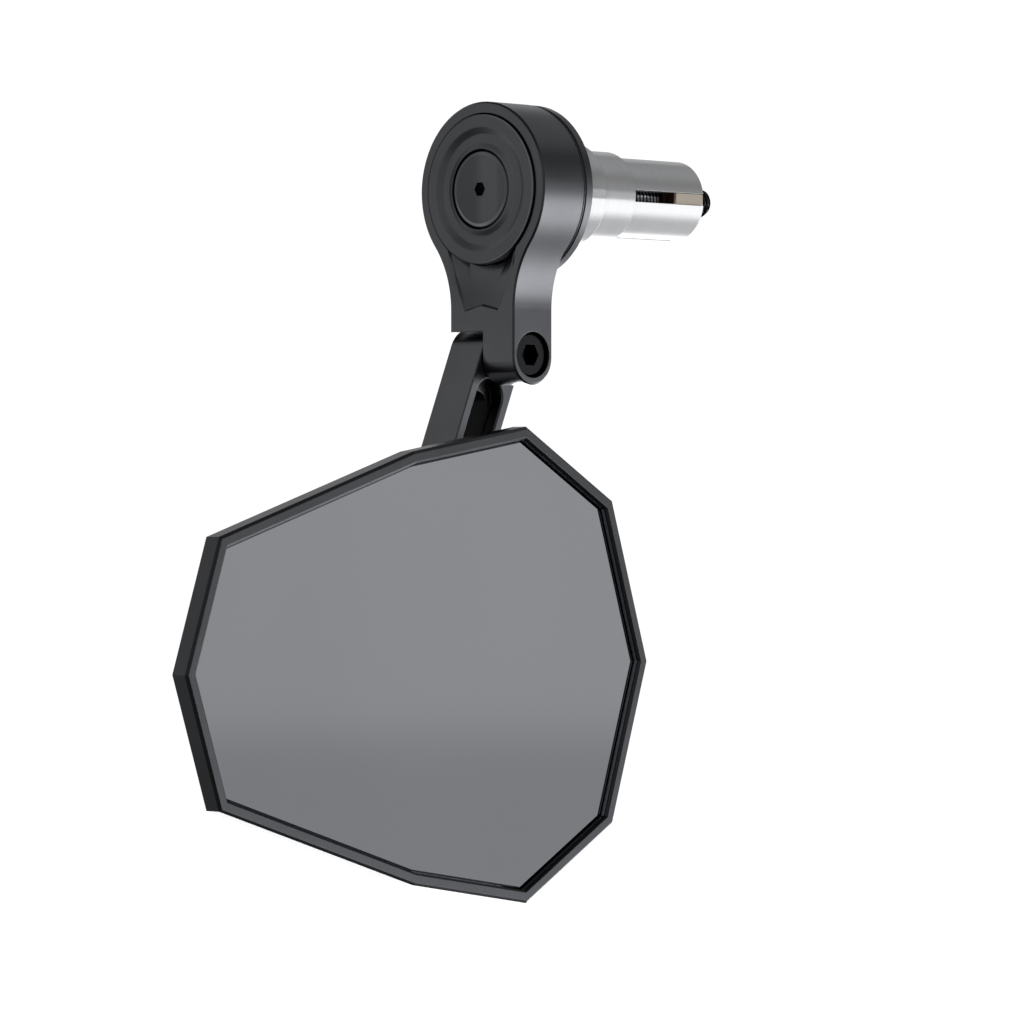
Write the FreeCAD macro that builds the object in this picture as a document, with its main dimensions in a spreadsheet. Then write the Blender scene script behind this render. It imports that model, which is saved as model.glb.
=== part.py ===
import FreeCAD, Part
import Sketcher
import math
import os

# Motorcycle bar end mirror, millimetres.
# The origin is on the axis of the plug, where its collar meets the end of the handlebar.
# The plug runs along +Y into the bar, the arm hangs towards -Z and the mirror glass faces +X.

Vector = FreeCAD.Vector
FIT = 0.02

# Driving dimensions. Depths called "out" are measured from the flange's back face towards -Y.
SIZES = {
    # hub: back flange, journal for the eye and nose for the cap
    "flange_inset": 0.05,
    "flange_thick": 2.0,
    "journal_radius": 11.0,
    "journal_out": 9.4,
    "nose_radius": 7.0,
    "nose_out": 12.1,
    "head_bore_radius": 6.0,
    "head_seat_out": 2.2,
    "flange_edge": 0.3,
    # expander plug
    "collar_radius": 10.6,
    "collar_length": 10.8,
    "body_radius": 9.2,
    "body_length": 10.0,
    "grip_radius": 8.2,
    "plug_length": 42.5,
    "plug_slot_width": 2.4,
    "plug_slot_start": 21.1,
    "plug_bore_radius": 4.4,
    "plug_bore_start": 17.0,
    "cone_length": 9.5,
    "cone_mouth_radius": 6.4,
    "plug_edge": 0.4,
    # expander bolt, its washer and the cone nut
    "bolt_radius": 3.0,
    "bolt_clearance": 0.25,
    "bolt_head_radius": 5.0,
    "bolt_head_height": 4.0,
    "bolt_hex": 5.0,
    "bolt_hex_depth": 2.2,
    "bolt_proud": 8.0,
    "bolt_washer_radius": 5.7,
    "bolt_washer_thick": 0.8,
    "nut_sunk": 8.5,
    "nut_proud": 0.7,
    "nut_play": 0.08,
    "nut_key_radius": 7.5,
    "nut_key_play": 0.1,
    "nut_key_inset": 0.6,
    # upper arm
    "eye_radius": 17.5,
    "arm_front_out": 14.2,
    "eye_back_out": 2.4,
    "neck_back_out": 3.1,
    "neck_half": 9.0,
    "flare_radius": 20.6,
    "recess_radius": 15.25,
    "recess_floor_out": 9.7,
    "eye_edge": 0.35,
    "running_fit": 0.05,
    "step_drop": 28.3,
    "hinge_drop": 33.05,
    "knuckle_tail": 0.45,
    "knuckle_flat": 0.01,
    "lap_face": 0.45,
    "lap_play": 0.25,
    "tongue_play": 1.25,
    # shallow trough in the neck under the disc
    "trough_depth": 0.5,
    "trough_top_half": 9.6,
    "trough_top_drop": 10.6,
    "trough_knee_half": 7.6,
    "trough_knee_drop": 17.0,
    "trough_foot_half": 4.3,
    "trough_foot_drop": 23.8,
    "trough_peak": 1.0,
    "trough_flank": 0.5,
    "scoop_top_half": 9.4,
    "scoop_floor_half": 6.6,
    "scoop_depth": 2.6,
    "scoop_foot_drop": 22.0,
    "scoop_foot_half": 4.6,
    # cover disc and centre cap
    "disc_face_out": 14.67,
    "disc_gap": 0.3,
    "ring_thick": 0.5,
    "groove_radius": 10.2,
    "groove_half": 2.3,
    "groove_floor": 0.8,
    "groove_depth": 0.7,
    "groove_lift": 0.1,
    "cap_radius": 7.75,
    "cap_gap": 0.3,
    "cap_thick": 2.27,
    "cap_round": 1.3,
    "cap_edge_drop": 0.25,
    "cap_shank_out": 7.6,
    "cap_hex": 2.6,
    "cap_hex_depth": 2.4,
    # hinge
    "screw_radius": 2.5,
    "screw_clearance": 0.15,
    "screw_head_radius": 4.3,
    "screw_head_height": 4.0,
    "screw_hex": 4.1,
    "screw_hex_depth": 2.4,
    "screw_head_sunk": 0.8,
    "screw_head_edge": 0.35,
    "screw_tip_depth": 5.5,
    "counterbore_radius": 4.6,
    "spring_washer_thick": 0.9,
    "spring_washer_split": 0.8,
    "barrel_radius": 3.5,
    "barrel_head_radius": 4.5,
    "barrel_head_height": 2.4,
    "barrel_head_play": 0.3,
    "barrel_short": 0.1,
    "hinge_washer_radius": 4.7,
    "hinge_washer_sunk": 0.4,
    # lower arm
    "tongue_thick": 9.2,
    "arm_tilt": 22.4,
    "arm_reach": 80.6,
    "slot_half": 3.55,
    "slot_depth": 3.2,
    "slot_start": 5.4,
    "slot_rim": 0.3,
    "through_half": 3.1,
    "through_start": 7.8,
    "slot_end_short": 2.6,
    "arm_edge": 0.15,
    # slider with the ball, its screw and washer
    "mount_short": 14.2,
    "slider_play": 0.1,
    "slider_head_half": 5.3,
    "slider_stem_half": 4.5,
    "slider_stem_short": 0.4,
    "ball_out": 5.0,
    "ball_radius": 4.0,
    "ball_neck_radius": 2.2,
    "clamp_screw_radius": 2.0,
    "clamp_screw_head": 3.8,
    "clamp_screw_height": 2.2,
    "clamp_screw_length": 6.0,
    "clamp_hex": 2.5,
    "clamp_hex_depth": 1.4,
    "clamp_washer_radius": 5.0,
    "clamp_washer_thick": 1.0,
    # ball liner and clamp ring
    "ball_flat": 55.0,
    "liner_thick": 0.8,
    "liner_lip": 2.0,
    "liner_depth": 1.6,
    "socket_depth": 2.2,
    "socket_play": 0.05,
    "boss_radius": 6.9,
    "ring_radius": 8.2,
    "ring_lip": 2.1,
    "ring_skirt": 2.6,
    "ring_notch_radius": 1.0,
    # mirror head
    "mirror_front": 15.0,
    "mirror_drop": 94.45,
    "shell_side": 4.0,
    "shell_back": 7.0,
    "back_inset": 14.0,
    "shell_chamfer": 0.5,
    "rim_width": 2.43,
    "rim_edge": 0.38,
    "shell_floor": 3.7,
    "glass_sunk": 1.5,
    "glass_thick": 1.7,
    "glass_gap": 0.3,
    "glass_bevel": 0.3,
    "pad_gap": 1.6,
    # outline of the mirror head: places along the bar and half heights
    "tip_left": 105.4,
    "shoulder_left": 97.0,
    "shoulder_left_half": 25.5,
    "bend_left": 47.1,
    "bend_left_half": 41.8,
    "bend_right": 16.2,
    "bend_right_half": 46.95,
    "shoulder_right": 8.25,
    "shoulder_right_half": 32.3,
    "tip_right": 18.35,
}

doc = FreeCAD.newDocument("bar_end_mirror")
sheet = doc.addObject("Spreadsheet::Sheet", "sizes")
for row, (alias, number) in enumerate(SIZES.items(), start=1):
    sheet.set("A%d" % row, alias.replace("_", " "))
    sheet.set("B%d" % row, str(number))
    sheet.setAlias("B%d" % row, alias)
doc.recompute()


def size(alias):
    """The number in the sheet's cell of that alias."""
    return float(sheet.get(alias))


def cells(text):
    """Expression text in which every alias points at the sheet."""
    words = []
    word = ""
    for sign in text + " ":
        if sign.isalnum() or sign == "_":
            word += sign
            continue
        words.append("sizes." + word if word in SIZES else word)
        words.append(sign)
        word = ""
    return "".join(words).strip()


def bind(thing, **properties):
    """Ties properties to expressions; two underscores in a name stand for a dot."""
    for name, text in properties.items():
        thing.setExpression(name.replace("__", "."), cells(text))


# Pieces are drawn from the flange's back face; this moves them so that the bar's seat is at zero
SEAT = " - collar_length"


def new_body(label):
    body = doc.addObject("PartDesign::Body", label)
    body.Label = label
    bind(body, Placement__Base__y=SEAT)
    return body


def new_sketch(body, name, role, offset=None):
    """Sketch on an origin plane of its body, moved along the plane's normal."""
    sketch = body.newObject("Sketcher::SketchObject", name)
    plane = [part for part in body.Origin.OriginFeatures if part.Role == role][0]
    sketch.AttachmentSupport = [(plane, "")]
    sketch.MapMode = "FlatFace"
    if offset:
        bind(sketch, AttachmentOffset__Base__z=offset)
    return sketch


def fix_point(sketch, geometry, point, place, guess):
    """Holds one point of a sketch at a pair of expressions."""
    axes = (("DistanceX", -2), ("DistanceY", -1))
    for (kind, axis), text, start in zip(axes, place, guess):
        if text == "0":
            sketch.addConstraint(Sketcher.Constraint("PointOnObject", geometry, point, axis))
        else:
            index = sketch.addConstraint(Sketcher.Constraint(kind, -1, 1, geometry, point, start))
            sketch.setExpression("Constraints[%d]" % index, cells(text))


def chain(sketch, points, construction=False):
    """Closed chain of straight lines through points, not yet held at any size."""
    first = sketch.GeometryCount
    count = len(points)
    for i in range(count):
        sketch.addGeometry(Part.LineSegment(points[i], points[(i + 1) % count]), construction)
    for i in range(count):
        joint = Sketcher.Constraint("Coincident", first + i, 2, first + (i + 1) % count, 1)
        sketch.addConstraint(joint)
    return first


def outline(sketch, corners, start=None, construction=False):
    """Closed outline of straight lines through the corners, each a pair of expressions."""
    turn = 2 * math.pi / len(corners)
    ring = [Vector(9 * math.cos(turn * i), 9 * math.sin(turn * i), 0) for i in range(len(corners))]
    start = start or ring
    first = chain(sketch, start, construction)
    for i, corner in enumerate(corners):
        fix_point(sketch, first + i, 1, corner, (start[i].x, start[i].y))
    return first


def rectangle(sketch, left, bottom, right, top):
    outline(sketch, [(left, bottom), (right, bottom), (right, top), (left, top)])


def circle(sketch, radius, place=("0", "0")):
    index = sketch.addGeometry(Part.Circle(Vector(1, 1, 0), Vector(0, 0, 1), 5), False)
    fix_point(sketch, index, 3, place, (1, 1))
    rule = sketch.addConstraint(Sketcher.Constraint("Radius", index, 5.0))
    sketch.setExpression("Constraints[%d]" % rule, cells(radius))


def hexagon(sketch, across, place=("0", "0")):
    """Hexagon with two flats level, given by its width across flats."""
    x, y = place
    half = "(%s) / 2" % across
    corners = []
    for step in range(6):
        angle = "%d deg" % (60 * step)
        reach = "%s / cos(30 deg)" % half
        corners.append(("(%s) + %s * cos(%s)" % (x, reach, angle),
                        "(%s) + %s * sin(%s)" % (y, reach, angle)))
    outline(sketch, corners)


def feature(body, kind, name, sketch, **properties):
    thing = body.newObject("PartDesign::" + kind, name)
    thing.Profile = sketch
    bind(thing, **properties)
    return thing


def pad(body, name, sketch, length, both=False):
    thing = feature(body, "Pad", name, sketch, Length=length)
    if both:
        thing.SideType = "Symmetric"
    return thing


def pocket(body, name, sketch, length=None, forward=False, both=False):
    """Cut against the sketch's normal, or along it where forward is set."""
    thing = body.newObject("PartDesign::Pocket", name)
    thing.Profile = sketch
    thing.Reversed = forward
    if both:
        thing.SideType = "Symmetric"
    if length:
        bind(thing, Length=length)
    else:
        thing.Type = "ThroughAll"
    return thing


def turned(label, role, profile):
    """Body of revolution about the sketch's level axis, from (along, radius) corners."""
    body = new_body(label)
    sketch = new_sketch(body, label + "_profile", role)
    outline(sketch, profile)
    spin = feature(body, "Revolution", label + "_turned", sketch)
    spin.ReferenceAxis = (sketch, ["H_Axis"])
    spin.Angle = 360.0
    doc.recompute()
    return body


def edges(solid, test):
    """Names of the edges whose middle point and direction pass the test."""
    names = []
    for index, edge in enumerate(solid.Tip.Shape.Edges, start=1):
        middle = edge.valueAt((edge.FirstParameter + edge.LastParameter) / 2)
        if test(edge, middle):
            names.append("Edge%d" % index)
    return names


def dress(body, kind, name, names, amount):
    """Fillet or chamfer on named edges of the body's last feature."""
    base = body.Tip
    thing = body.newObject("PartDesign::" + kind, name)
    thing.Base = (base, names)
    bind(thing, **({"Radius": amount} if kind == "Fillet" else {"Size": amount}))
    doc.recompute()
    return thing


def ring_edge(radius, axis, along):
    """Test for a full circle of a radius at a place along an axis (0 for X, 1 for Y)."""
    def test(edge, middle):
        curve = edge.Curve
        if not isinstance(curve, Part.Circle) or len(edge.Vertexes) > 1:
            return False
        same_radius = abs(curve.Radius - radius) < FIT
        return same_radius and abs(curve.Center[axis] - along) < FIT
    return test


# Hub: the back flange, the journal on which the eye turns, and the nose that the cap screws into
def make_hub():
    body = turned("hub_flange", "YZ_Plane", [
        ("0", "bolt_radius + bolt_clearance"),
        ("0", "eye_radius - flange_inset - flange_edge"),
        ("-flange_edge", "eye_radius - flange_inset"),
        ("-flange_thick", "eye_radius - flange_inset"),
        ("-flange_thick", "journal_radius"),
        ("-journal_out", "journal_radius"),
        ("-journal_out", "nose_radius"),
        ("-nose_out", "nose_radius"),
        ("-nose_out", "head_bore_radius"),
        ("-head_seat_out", "head_bore_radius"),
        ("-head_seat_out", "bolt_radius + bolt_clearance"),
    ])
    return body


# Plug: a turned sleeve whose end is cut into four fingers that the cone nut spreads
def make_sleeve():
    body = turned("expander_sleeve", "YZ_Plane", [
        ("0", "bolt_radius + bolt_clearance"),
        ("0", "collar_radius"),
        ("collar_length", "collar_radius"),
        ("collar_length", "body_radius"),
        ("collar_length + body_length", "body_radius"),
        ("collar_length + body_length", "grip_radius"),
        ("plug_length - plug_edge", "grip_radius"),
        ("plug_length", "grip_radius - plug_edge"),
        ("plug_length", "cone_mouth_radius"),
        ("plug_length - cone_length", "plug_bore_radius"),
        ("plug_bore_start", "plug_bore_radius"),
        ("plug_bore_start", "bolt_radius + bolt_clearance"),
    ])
    for name, role in (("level_slots", "XY_Plane"), ("upright_slots", "YZ_Plane")):
        sketch = new_sketch(body, name + "_outline", role)
        start, end, side = "plug_slot_start", "plug_length + 1", "collar_radius + 1"
        if role == "XY_Plane":
            rectangle(sketch, "-(%s)" % side, start, side, end)
        else:
            rectangle(sketch, start, "-(%s)" % side, end, side)
        pocket(body, name, sketch, "plug_slot_width", both=True)
        doc.recompute()
    return body


# Cone nut: a wedge on the bolt, kept from turning by two keys that ride in the plug's slots
def make_cone_nut():
    slope = "((cone_mouth_radius - plug_bore_radius) / cone_length)"
    radius = "plug_bore_radius - nut_play + (%s) * " + slope
    start = "plug_length - nut_sunk"
    end = "plug_length + nut_proud"
    body = turned("cone_nut", "YZ_Plane", [
        (start, "0"),
        (start, radius % "cone_length - nut_sunk"),
        (end, radius % "cone_length + nut_proud"),
        (end, "0"),
    ])
    keys = new_sketch(body, "keys_outline", "XY_Plane")
    rectangle(keys, "-nut_key_radius", start + " + nut_key_inset",
              "nut_key_radius", end + " - nut_key_inset")
    pad(body, "keys", keys, "plug_slot_width - 2 * nut_key_play", both=True)
    bore = new_sketch(body, "nut_bore_outline", "XZ_Plane")
    circle(bore, "bolt_radius + running_fit")
    pocket(body, "nut_bore", bore, forward=False)
    doc.recompute()
    return body


def make_bolt():
    head_face = "head_seat_out + bolt_washer_thick + bolt_head_height"
    body = turned("expander_bolt", "YZ_Plane", [
        ("-(%s)" % head_face, "0"),
        ("-(%s)" % head_face, "bolt_head_radius"),
        ("-head_seat_out - bolt_washer_thick", "bolt_head_radius"),
        ("-head_seat_out - bolt_washer_thick", "bolt_radius"),
        ("plug_length + bolt_proud - 0.15 * bolt_radius", "bolt_radius"),
        ("plug_length + bolt_proud", "0.85 * bolt_radius"),
        ("plug_length + bolt_proud", "0"),
    ])
    sketch = new_sketch(body, "bolt_hex_outline", "XZ_Plane", head_face)
    hexagon(sketch, "bolt_hex")
    pocket(body, "bolt_socket", sketch, "bolt_hex_depth")
    doc.recompute()
    washer = turned("bolt_washer", "YZ_Plane", [
        ("-head_seat_out", "bolt_radius + bolt_clearance"),
        ("-head_seat_out", "bolt_washer_radius"),
        ("-head_seat_out - bolt_washer_thick", "bolt_washer_radius"),
        ("-head_seat_out - bolt_washer_thick", "bolt_radius + bolt_clearance"),
    ])
    return [body, washer]


# Rings of low friction between the flange and the eye, and between the eye and the disc
def make_friction_rings():
    inner = turned("inner_friction_ring", "YZ_Plane", [
        ("-flange_thick", "journal_radius + disc_gap"),
        ("-flange_thick", "eye_radius - flange_inset - 2 * flange_edge"),
        ("-eye_back_out", "eye_radius - flange_inset - 2 * flange_edge"),
        ("-eye_back_out", "journal_radius + disc_gap"),
    ])
    outer = turned("outer_friction_ring", "YZ_Plane", [
        ("-recess_floor_out", "journal_radius + disc_gap"),
        ("-recess_floor_out", "recess_radius - 2 * disc_gap"),
        ("-recess_floor_out - ring_thick", "recess_radius - 2 * disc_gap"),
        ("-recess_floor_out - ring_thick", "journal_radius + disc_gap"),
    ])
    return [inner, outer]


# Cover disc: sits in the eye's recess, with a shallow round groove about its cap
def make_cover_disc():
    back = "-recess_floor_out - ring_thick"
    cap_seat = "-disc_face_out + cap_thick"
    body = turned("cover_disc", "YZ_Plane", [
        (back, "nose_radius + 2 * running_fit"),
        (back, "recess_radius - disc_gap"),
        ("-disc_face_out", "recess_radius - disc_gap"),
        ("-disc_face_out", "groove_radius + groove_half"),
        ("-disc_face_out + groove_depth", "groove_radius + groove_floor"),
        ("-disc_face_out + groove_depth", "groove_radius - groove_floor"),
        ("-disc_face_out + groove_lift", "cap_radius + cap_gap"),
        (cap_seat, "cap_radius + cap_gap"),
        (cap_seat, "nose_radius + 2 * running_fit"),
    ])
    return body


# Centre cap: its shank screws into the hub and its head clamps the disc and the eye
def make_cap():
    body = turned("centre_cap", "YZ_Plane", [
        ("-disc_face_out", "0"),
        ("-disc_face_out", "cap_radius - cap_round"),
        ("-disc_face_out + cap_edge_drop", "cap_radius - cap_edge_drop"),
        ("-disc_face_out + 2 * cap_edge_drop", "cap_radius"),
        ("-disc_face_out + cap_thick", "cap_radius"),
        ("-disc_face_out + cap_thick", "head_bore_radius - running_fit"),
        ("-cap_shank_out", "head_bore_radius - running_fit"),
        ("-cap_shank_out", "0"),
    ])
    sketch = new_sketch(body, "cap_hex_outline", "XZ_Plane", "disc_face_out")
    hexagon(sketch, "cap_hex")
    pocket(body, "cap_socket", sketch, "cap_hex_depth")
    doc.recompute()
    return body


# Upper arm: round eye, flared neck and the outer half of a lap joint with a rounded knuckle
def make_upper_arm():
    body = new_body("upper_arm")
    thick = "(arm_front_out - neck_back_out)"
    middle = "-(arm_front_out + neck_back_out) / 2"
    end = "(-hinge_drop - knuckle_tail - %s / 2)" % thick
    eye = new_sketch(body, "eye_outline", "XZ_Plane", "neck_back_out")
    circle(eye, "eye_radius")
    pad(body, "eye", eye, thick)
    neck = new_sketch(body, "neck_outline", "XZ_Plane", "neck_back_out")
    rectangle(neck, "-neck_half", end, "neck_half", "-neck_half")
    pad(body, "neck", neck, thick)
    doc.recompute()

    corner = math.sqrt(size("eye_radius") ** 2 - size("neck_half") ** 2)
    flare = edges(body, lambda edge, mid: abs(abs(mid.x) - size("neck_half")) < FIT
                  and abs(mid.z + corner) < FIT and edge.Length > size("flange_thick"))
    dress(body, "Fillet", "flare", flare, "flare_radius")
    lowest = body.Shape.BoundBox.ZMin
    foot = edges(body, lambda edge, mid: abs(mid.z - lowest) < FIT and abs(mid.x) < FIT)
    dress(body, "Fillet", "knuckle", foot, thick + " / 2 - knuckle_flat")
    faces = [-size("arm_front_out"), -size("neck_back_out")]
    rims = edges(body, lambda edge, mid: min(abs(mid.y - face) for face in faces) < FIT
                 and abs(edge.valueAt(edge.FirstParameter).y - mid.y) < FIT
                 and abs(mid.x) > size("neck_half") - FIT)
    dress(body, "Chamfer", "arm_chamfer", rims, "eye_edge")
    boss = new_sketch(body, "eye_back_outline", "XZ_Plane", "eye_back_out")
    circle(boss, "eye_radius - eye_edge")
    pad(body, "eye_back", boss, "neck_back_out - eye_back_out")
    doc.recompute()

    recess = new_sketch(body, "recess_outline", "XZ_Plane", "arm_front_out")
    circle(recess, "recess_radius")
    pocket(body, "recess", recess, "arm_front_out - recess_floor_out")
    bore = new_sketch(body, "journal_bore_outline", "XZ_Plane", "arm_front_out")
    circle(bore, "journal_radius + running_fit")
    pocket(body, "journal_bore", bore)
    doc.recompute()

    trough(body)
    scoop(body)

    lap = new_sketch(body, "lap_outline", "XZ_Plane", "arm_front_out")
    rectangle(lap, "-neck_half - 1", end + " - 1", "lap_face", "-step_drop")
    pocket(body, "lap", lap)
    seat = new_sketch(body, "tongue_seat_outline", "YZ_Plane", "lap_face")
    circle(seat, thick + " / 2 + tongue_play", (middle, "-hinge_drop"))
    pocket(body, "tongue_seat", seat)

    hole = new_sketch(body, "screw_hole_outline", "YZ_Plane", "neck_half")
    circle(hole, "screw_radius + screw_clearance", (middle, "-hinge_drop"))
    pocket(body, "screw_hole", hole)
    counterbore = new_sketch(body, "counterbore_outline", "YZ_Plane", "neck_half")
    circle(counterbore, "counterbore_radius", (middle, "-hinge_drop"))
    depth = "screw_head_sunk + screw_head_height + spring_washer_thick"
    pocket(body, "counterbore", counterbore, depth)
    doc.recompute()
    return body


def trough(body):
    """Shallow tapered trough in the front of the neck, wider at the surface than at its floor."""
    sections = []
    for name, offset, flank in (("trough_floor", "arm_front_out - trough_depth", "0"),
                                ("trough_mouth", "arm_front_out", "trough_flank")):
        sketch = new_sketch(body, name, "XZ_Plane", offset)
        top, knee, foot = ("trough_%s_half + %s" % (part, flank) for part in ("top", "knee", "foot"))
        outline(sketch, [
            ("-(%s)" % top, "-trough_top_drop"),
            ("-(%s)" % knee, "-trough_knee_drop"),
            ("-(%s)" % foot, "-trough_foot_drop - " + flank),
            ("0", "-trough_foot_drop + trough_peak - " + flank),
            (foot, "-trough_foot_drop - " + flank),
            (knee, "-trough_knee_drop"),
            (top, "-trough_top_drop"),
        ])
        sections.append(sketch)
    cut = feature(body, "SubtractiveLoft", "trough", sections[0])
    cut.Sections = [(sections[1], [""])]
    cut.Ruled = True
    doc.recompute()


def scoop(body):
    """Hollow that runs from the trough's foot down under the edge of the disc."""
    sections = []
    for name, drop, half, floor, depth in (
            ("scoop_top", "trough_top_drop", "scoop_top_half", "scoop_floor_half", "scoop_depth"),
            ("scoop_foot", "scoop_foot_drop", "scoop_foot_half", "scoop_foot_half / 2",
             "trough_depth / 2")):
        sketch = new_sketch(body, name, "XY_Plane", "-" + drop)
        front, back = "-arm_front_out - 1", "-arm_front_out + " + depth
        flank = "((%s - %s) / (%s))" % (half, floor, depth)
        outline(sketch, [
            ("-(%s) - %s" % (half, flank), front),
            ("%s + %s" % (half, flank), front),
            (floor, back),
            ("-(%s)" % floor, back),
        ])
        sections.append(sketch)
    cut = feature(body, "SubtractiveLoft", "scoop", sections[0])
    cut.Sections = [(sections[1], [""])]
    cut.Ruled = True
    doc.recompute()


HINGE_Y = "-(arm_front_out + neck_back_out) / 2"
HINGE_Z = "-hinge_drop"
BALL_Y = HINGE_Y + " - (arm_reach - mount_short) * sin(arm_tilt * 1 deg)"
BALL_Z = HINGE_Z + " - (arm_reach - mount_short) * cos(arm_tilt * 1 deg)"


def make_hinge():
    """Screw, spring washer, barrel nut and friction washer on the hinge's axis."""
    top = "neck_half - screw_head_sunk"
    seat = top + " - screw_head_height"
    screw = turned("hinge_screw", "XZ_Plane", [
        (top, "0"),
        (top, "screw_head_radius - screw_head_edge"),
        (top + " - screw_head_edge", "screw_head_radius"),
        (seat, "screw_head_radius"),
        (seat, "screw_radius"),
        ("-screw_tip_depth", "screw_radius"),
        ("-screw_tip_depth", "0"),
    ])
    sketch = new_sketch(screw, "screw_hex_outline", "YZ_Plane", top)
    hexagon(sketch, "screw_hex")
    pocket(screw, "screw_socket", sketch, "screw_hex_depth")

    spring = turned("hinge_spring_washer", "XZ_Plane", [
        (seat, "screw_radius + screw_clearance"),
        (seat, "screw_head_radius"),
        (seat + " - spring_washer_thick", "screw_head_radius"),
        (seat + " - spring_washer_thick", "screw_radius + screw_clearance"),
    ])
    split = new_sketch(spring, "split_outline", "YZ_Plane")
    rectangle(split, "0", "-spring_washer_split / 2", "screw_head_radius + 1",
              "spring_washer_split / 2")
    pocket(spring, "split", split, "4 * neck_half", both=True)

    tongue_face = "lap_face - lap_play"
    back = tongue_face + " - tongue_thick"
    head_inner = "-screw_tip_depth - barrel_head_play - screw_clearance"
    barrel = turned("hinge_barrel_nut", "XZ_Plane", [
        (tongue_face + " - barrel_short", "screw_radius + running_fit"),
        (tongue_face + " - barrel_short", "barrel_radius"),
        (back + " + barrel_head_play + barrel_head_height", "barrel_radius"),
        (back + " + barrel_head_play + barrel_head_height", "barrel_head_radius"),
        (back + " + barrel_head_play", "barrel_head_radius"),
        (back + " + barrel_head_play", "0"),
        (head_inner, "0"),
        (head_inner, "screw_radius + running_fit"),
    ])
    washer = turned("hinge_friction_washer", "XZ_Plane", [
        ("lap_face", "barrel_radius + lap_play"),
        ("lap_face", "hinge_washer_radius"),
        (tongue_face + " - hinge_washer_sunk", "hinge_washer_radius"),
        (tongue_face + " - hinge_washer_sunk", "barrel_radius + lap_play"),
    ])
    made = [screw, spring, barrel, washer]
    for body in made:
        bind(body, Placement__Base__y=HINGE_Y + SEAT, Placement__Base__z=HINGE_Z)
    doc.recompute()
    return made


def lean(body, reach):
    """Puts a body at a distance down the lower arm, leaning with it."""
    body.Placement = FreeCAD.Placement(Vector(0, 0, 0), FreeCAD.Rotation(Vector(-1, 0, 0), 10))
    bind(body, Placement__Rotation__Angle="arm_tilt * 1 deg",
         Placement__Base__y="%s - %s * sin(arm_tilt * 1 deg)" % (HINGE_Y + SEAT, reach),
         Placement__Base__z="%s - %s * cos(arm_tilt * 1 deg)" % (HINGE_Z, reach))


def stadium_pads(body, name, role, offset, half, top, bottom, cut):
    """Round-ended bar or slot from one rectangle and two circles."""
    shapes = []
    for part in ("middle", "upper_end", "lower_end"):
        sketch = new_sketch(body, "%s_%s_outline" % (name, part), role, offset)
        if part == "middle":
            rectangle(sketch, "-(%s)" % half, bottom, half, top)
        else:
            circle(sketch, half, ("0", top if part == "upper_end" else bottom))
        shapes.append(cut("%s_%s" % (name, part), sketch))
        doc.recompute()
    return shapes


# Lower arm: a bar that turns in the lap joint, with a counterbored slot for the slider
def make_lower_arm():
    body = new_body("lower_arm")
    half = "(arm_front_out - neck_back_out) / 2"
    face = "lap_face - lap_play"
    back = "%s - tongue_thick" % face
    stadium_pads(body, "bar", "YZ_Plane", back, half, "0", "-arm_reach",
                 lambda name, sketch: pad(body, name, sketch, "tongue_thick"))

    front_edge = edges(body, lambda edge, mid: abs(mid.x - size("lap_face") + size("lap_play")) < FIT)
    dress(body, "Chamfer", "front_edge", front_edge, "arm_edge")

    hole = new_sketch(body, "barrel_hole_outline", "YZ_Plane", face)
    circle(hole, "barrel_radius + running_fit")
    pocket(body, "barrel_hole", hole)
    washer = new_sketch(body, "washer_seat_outline", "YZ_Plane", face)
    circle(washer, "hinge_washer_radius + running_fit")
    pocket(body, "washer_seat", washer, "hinge_washer_sunk")
    head = new_sketch(body, "head_seat_outline", "YZ_Plane", back)
    circle(head, "barrel_head_radius + lap_play")
    pocket(body, "head_seat", head, "barrel_head_play + barrel_head_height", forward=True)
    doc.recompute()

    stadium_pads(body, "slot", "YZ_Plane", face, "slot_half", "-slot_start - slot_half",
                 "-arm_reach + slot_end_short + slot_half",
                 lambda name, sketch: pocket(body, name, sketch, "slot_depth"))
    rim = edges(body, lambda edge, mid: abs(mid.x - size("lap_face") + size("lap_play")) < FIT
                and abs(mid.y) < size("slot_half") + FIT
                and size("slot_end_short") - size("arm_reach") - FIT < mid.z < -size("slot_start") + FIT)
    dress(body, "Chamfer", "slot_rim_chamfer", rim, "slot_rim")
    stadium_pads(body, "through", "YZ_Plane", face, "through_half",
                 "-through_start - through_half", "-arm_reach + slot_end_short + slot_half",
                 lambda name, sketch: pocket(body, name, sketch))
    lean(body, "0")
    doc.recompute()
    return body


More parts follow.
